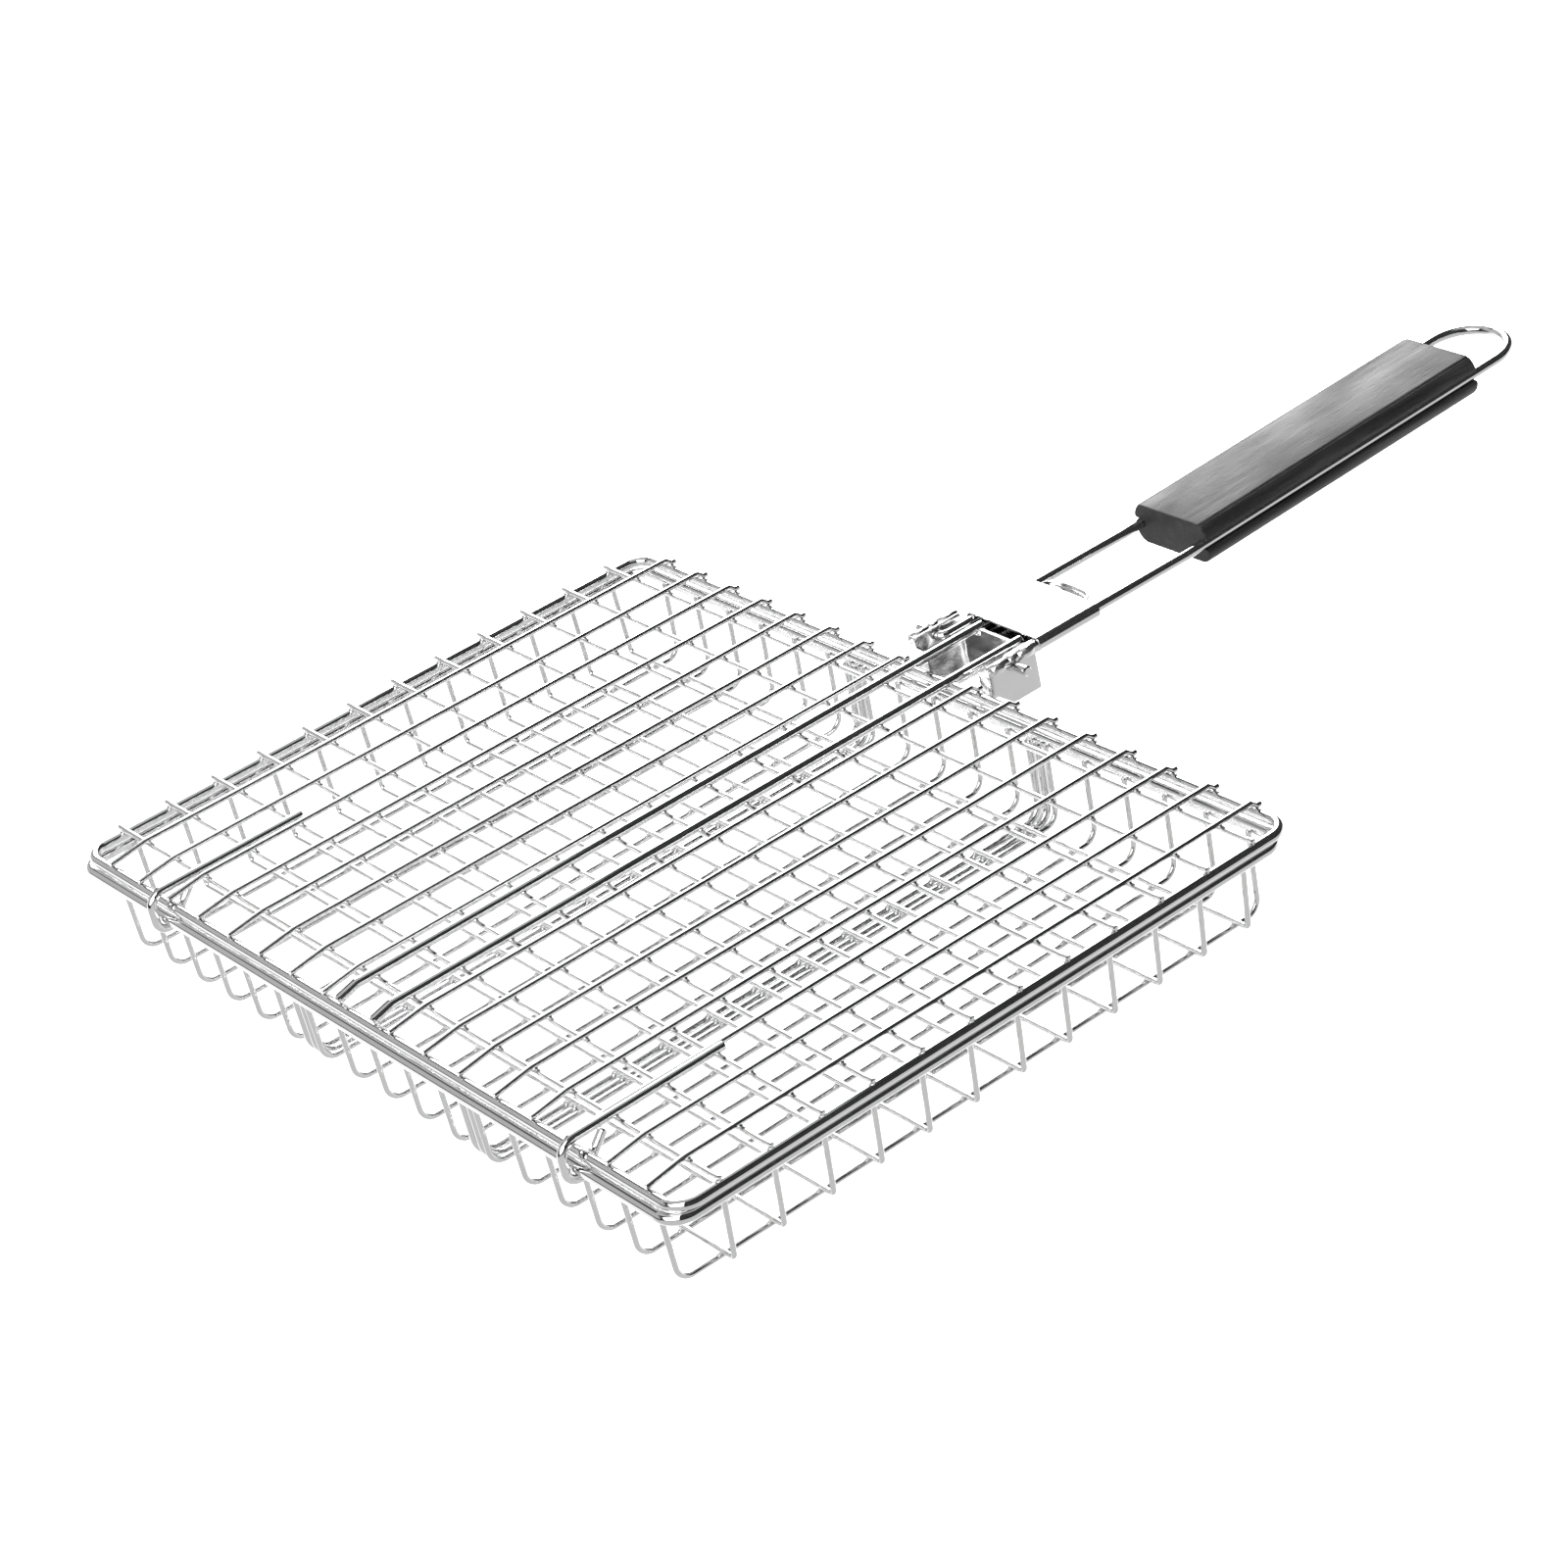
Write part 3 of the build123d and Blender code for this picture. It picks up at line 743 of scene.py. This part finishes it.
def make_bracket(metal):
    low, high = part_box("bracket")
    back, bottom = high.y, low.z - PIVOT.z
    upright = Matrix(((0, 0, 1, 0), (1, 0, 0, 0), (0, 1, 0, 0), (0, 0, 0, 1)))
    facing = Matrix(((1, 0, 0, 0), (0, 0, 1, 0), (0, 1, 0, 0), (0, 0, 0, 1)))
    for side, word in ((-1, "left"), (1, "right")):
        x = side * (EAR_INNER + EAR_T / 2)
        f, b = EAR_FRONT - PIVOT.y, back - PIVOT.y
        outline = [(f, EAR_TOP), (f, EAR_FRONT_LOW), (f + EAR_CHAMFER, bottom), (b, bottom), (b, EAR_TOP)]
        placing = Matrix.Translation((x, PIVOT.y, PIVOT.z)) @ upright
        hole = [(0, 0, HANDLE_R + RUNNING_CLEARANCE)]
        ear = sheet_plate(f"ear_{word}", outline, hole, EAR_T, SHEET_EDGE, placing, metal)
        finish_piece(ear, "basket", "sheet_metal", "bracket")
        pin_front, pin_back = PIVOT.y - BEAD_GAP, PIVOT.y + BEAD_GAP
        rolled_edge(f"ear_roll_{word}_front", x, side, EAR_FRONT, pin_front, ROLL_TURN, metal)
        rolled_edge(f"ear_roll_{word}_pin", x, side, pin_front, pin_back, ROLL_TURN_OVER_PIN, metal)
        rolled_edge(f"ear_roll_{word}_back", x, side, pin_back, back, ROLL_TURN, metal)
        near, far = side * (EAR_INNER + EAR_T), side * (EAR_INNER + EAR_T - FLANGE_WIDTH)
        outline = [(near, FLANGE_TOP), (near, FLOOR_TOP), (far, FLOOR_TOP), (far, FLANGE_TOP)]
        placing = Matrix.Translation((0, EAR_FRONT + EAR_T / 2, PIVOT.z)) @ facing
        flange = sheet_plate(f"ear_flange_{word}", outline, [], EAR_T, SHEET_EDGE, placing, metal)
        finish_piece(flange, "basket", "sheet_metal")
    flap = EAR_INNER - FLAP_CORNER
    outline = [(-flap, FLAP_TOP), (-flap, FLOOR_TOP - EAR_T), (flap, FLOOR_TOP - EAR_T), (flap, FLAP_TOP)]
    outline += [(TONGUE_HALF, FLAP_TOP), (TONGUE_HALF, TONGUE_TOP)]
    outline += [(-TONGUE_HALF, TONGUE_TOP), (-TONGUE_HALF, FLAP_TOP)]
    placing = Matrix.Translation((0, back - EAR_T / 2, PIVOT.z)) @ facing
    rear = sheet_plate("bracket_flap", outline, [], EAR_T, SHEET_EDGE, placing, metal)
    finish_piece(rear, "basket", "sheet_metal")
    outline = [(-EAR_INNER, low.y), (EAR_INNER, low.y), (EAR_INNER, back), (-EAR_INNER, back)]
    placing = Matrix.Translation((0, 0, PIVOT.z + FLOOR_TOP - EAR_T / 2))
    floor = sheet_plate("bracket_floor", outline, [], EAR_T, SHEET_EDGE, placing, metal)
    finish_piece(floor, "basket", "sheet_metal")


# Stage --------------------------------------------------------------------------------------------------
PANEL_DISTANCE = 2.6
FAR_SIDE = math.atan2(VIEW_FLAT.x, VIEW_FLAT.y)
CAMERA_SIDE = FAR_SIDE + math.pi
FLOOR_SEEN_IN_METAL = 0.68
FAR_FLOOR_SEEN_IN_METAL = 1.25
SKY_SEEN_IN_METAL = 0.05
LEFT_FRONT_SEEN_IN_METAL = 0.55
LEFT_FRONT = Vector((-0.85, -0.53, 0))


def make_floor():
    """A white floor, lit until it is pure white; the metal sees the world's grey lower half instead of it."""
    mesh = bpy.data.meshes.new("floor")
    work = bmesh.new()
    bmesh.ops.create_circle(work, cap_ends=True, segments=96, radius=30)
    work.to_mesh(mesh)
    work.free()
    mesh.materials.append(floor_material())
    floor = bpy.data.objects.new("floor", mesh)
    floor.location.z = -0.0003
    floor.visible_glossy = False
    bpy.context.scene.collection.objects.link(floor)


def make_backdrop():
    """A plain white studio wall all round, which only the camera sees."""
    wall, _, shader = new_material("wall_white")
    shader.inputs["Base Color"].default_value = (0, 0, 0, 1)
    shader.inputs["Emission Color"].default_value = (1, 1, 1, 1)
    shader.inputs["Emission Strength"].default_value = 1.0
    count, radius, high = 64, 29.0, 25.0
    turns = np.linspace(0, 2 * math.pi, count, endpoint=False)
    rim = [(radius * math.cos(t), radius * math.sin(t)) for t in turns]
    vertices = [(x, y, z) for z in (-0.0002, high) for x, y in rim]
    faces = [(i, (i + 1) % count, count + (i + 1) % count, count + i) for i in range(count)]
    faces.append(tuple(range(count, 2 * count)))
    backdrop = add_mesh("backdrop", vertices, faces, wall)
    backdrop.visible_glossy = False
    backdrop.visible_diffuse = False
    backdrop.visible_shadow = False
    backdrop.visible_transmission = False


def panel(name, heading, elevation, width, height, radiance, distance=PANEL_DISTANCE):
    """A soft rectangular studio panel facing the object; heading is from +Y towards +X."""
    data = bpy.data.lights.new(name, "AREA")
    data.shape = "RECTANGLE"
    data.size, data.size_y = width, height
    data.energy = math.pi * width * height * radiance
    light = bpy.data.objects.new(name, data)
    bpy.context.scene.collection.objects.link(light)
    flat = math.cos(elevation)
    away = Vector((math.sin(heading) * flat, math.cos(heading) * flat, math.sin(elevation)))
    light.location = Vector((0, 0.1, 0.03)) + away * distance
    light.rotation_euler = away.to_track_quat("Z", "Y").to_euler()
    light.visible_camera = False
    return light


def black_flag(name, corners, material):
    """A black studio flag that only reflections see."""
    flag = add_mesh(name, corners, [(0, 1, 2, 3)], material)
    flag.visible_camera = False
    flag.visible_diffuse = False
    flag.visible_shadow = False


def make_flags():
    black, _, shader = new_material("flag_black")
    shader.inputs["Base Color"].default_value = (0.012, 0.012, 0.012, 1)
    shader.inputs["Roughness"].default_value = 1
    shader.inputs["Specular IOR Level"].default_value = 0
    x, y0, y1, high = 0.32, -0.25, 1.9, 1.1
    black_flag("right_flag", [(x, y0, 0), (x, y1, 0), (x, y1, high), (x, y0, high)], black)
    y, x0, x1, high = -0.42, -0.75, 0.10, 0.08
    black_flag("front_flag", [(x0, y, 0), (x1, y, 0), (x1, y, high), (x0, y, high)], black)
    eye = bpy.context.scene.camera.matrix_world
    size, behind = 0.2, 0.02
    signs = ((-1, -1), (1, -1), (1, 1), (-1, 1))
    corners = [eye @ Vector((sx * size, sy * size, behind)) for sx, sy in signs]
    black_flag("camera_card", corners, black)


def make_lights():
    world = bpy.data.worlds.new("studio")
    bpy.context.scene.world = world
    world.use_nodes = True
    tree = world.node_tree
    background = next(n for n in tree.nodes if n.type == "BACKGROUND")
    direction = tree.nodes.new("ShaderNodeTexCoord")
    split = tree.nodes.new("ShaderNodeSeparateXYZ")
    tree.links.new(direction.outputs["Generated"], split.inputs["Vector"])
    towards = tree.nodes.new("ShaderNodeVectorMath")
    towards.operation = "DOT_PRODUCT"
    towards.inputs[1].default_value = VIEW_FLAT
    tree.links.new(direction.outputs["Generated"], towards.inputs[0])
    paper = remap(tree, towards.outputs["Value"], 0.0, 0.35, FLOOR_SEEN_IN_METAL, FAR_FLOOR_SEEN_IN_METAL)
    above = remap(tree, split.outputs["Z"], -0.03, 0.04, 0.0, 1.0)
    below = math_node(tree, "SUBTRACT", 1.0, above)
    leftward = tree.nodes.new("ShaderNodeVectorMath")
    leftward.operation = "DOT_PRODUCT"
    leftward.inputs[1].default_value = LEFT_FRONT
    tree.links.new(direction.outputs["Generated"], leftward.inputs[0])
    flank = remap(tree, leftward.outputs["Value"], 0.66, 0.78, SKY_SEEN_IN_METAL, LEFT_FRONT_SEEN_IN_METAL)
    sky = math_node(tree, "MULTIPLY", above, flank)
    level = math_node(tree, "ADD", math_node(tree, "MULTIPLY", below, paper), sky)
    tree.links.new(level, background.inputs["Color"])
    panel("far_panel", FAR_SIDE, math.radians(27), width=1.8, height=2.0, radiance=8.0)
    panel("camera_panel", CAMERA_SIDE, math.radians(36), width=7.0, height=2.6, radiance=4.0)
    top_panel = panel("top_panel", 0.0, math.radians(90), width=1.2, height=1.1, radiance=0.5, distance=0.92)
    top_panel.location += Vector((-0.1, -0.25, 0))
    overhead_panel = panel("overhead_panel", 0.0, math.radians(90), width=3.0, height=3.0, radiance=5.0)
    overhead_panel.visible_glossy = False
    view = bpy.context.scene.view_settings
    view.view_transform = "Standard"
    view.look = "None"


make_camera()
make_floor()
make_backdrop()
make_flags()
make_lights()
thin_wire = chrome("mesh_wire", 0.80, rough_low=0.06, rough_high=0.14)
heavy_wire = chrome("heavy_wire", 0.80, rough_low=0.04, rough_high=0.10)
handle_metal = chrome("handle_wire", 0.80, rough_low=0.04, rough_high=0.10)
sheet_metal = chrome("sheet_metal", 0.82, rough_low=0.06, rough_high=0.14, grain=(1, 0.1, 1), relief=0.004)
bracket_metal = chrome("bracket_metal", 0.80, rough_low=0.18, rough_high=0.24, relief=0.0)
make_basket(thin_wire, heavy_wire)
make_lid(thin_wire, heavy_wire)
make_handle(handle_metal, stained_wood())
make_sleeve(sheet_metal)
make_bracket(bracket_metal)
